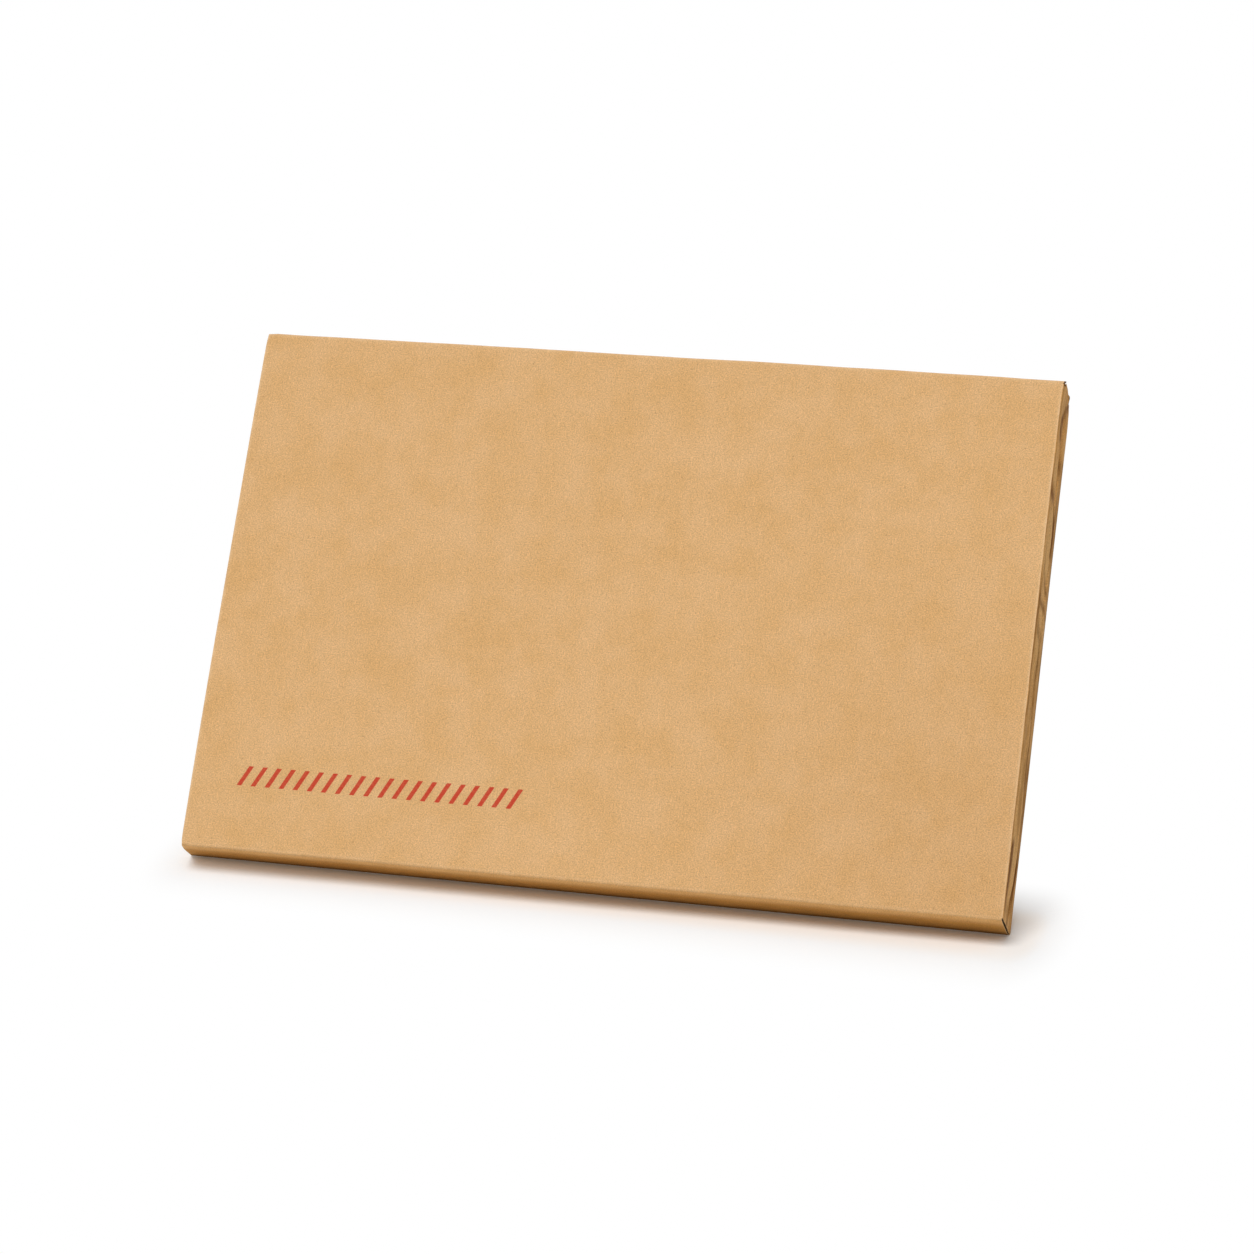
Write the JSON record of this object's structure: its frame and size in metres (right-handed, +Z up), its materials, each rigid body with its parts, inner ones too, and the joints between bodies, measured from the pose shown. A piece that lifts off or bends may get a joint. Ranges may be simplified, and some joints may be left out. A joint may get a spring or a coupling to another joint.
{
  "type": "board-backed envelope",
  "caption": "Landscape kraft paper envelope with a stiff greyboard back, a deep pocket and a peel-and-seal flap at one short end.",
  "frame": {"origin": "on the supporting surface, under the middle of the leaning envelope's bounding box", "axes": "+Z up; +X along the long side, towards the mouth and its flap; the front faces -Y and upwards, because the envelope leans back 34 degrees toward +Y on its long bottom edge"},
  "size_m": [0.3278, 0.138, 0.1897],
  "materials": {
    "kraft_front": "matt kraft with fine fibres",
    "kraft_side": "matt kraft, creased at its folds",
    "greyboard": "matt recycled board with flecks",
    "gum": "dried, slightly glossy",
    "adhesive": "tacky, glossy",
    "liner": "siliconed, satin"
  },
  "bodies": {
    "pocket": {"front_panel": "kraft_front", "bottom_wall": "kraft_side", "top_wall": "kraft_side", "closed_end_wall": "kraft_side", "backing_board": "greyboard", "bottom_seam_flap": "kraft_side", "top_seam_flap": "kraft_side", "closed_end_seam_flap": "kraft_side", "bottom_gum_line": "gum", "top_gum_line": "gum", "closed_end_gum_line": "gum"},
    "spine": {"flap_spine": "kraft_side"},
    "flap": {"seal_flap": "kraft_side", "adhesive_strip": "adhesive", "release_liner": "liner"}
  },
  "joints": [
    {"name": "spine_crease", "type": "hinge", "parent": "pocket", "child": "spine", "pos_m": [0.16358, -0.00912, 0.10101], "axis": [0, -0.5592, -0.829], "range_deg": [0, 90]},
    {"name": "flap_crease", "type": "hinge", "parent": "spine", "child": "flap", "pos_m": [0.16388, 0.00995, 0.08815], "axis": [0, -0.5592, -0.829], "range_deg": [0, 90]}
  ]
}
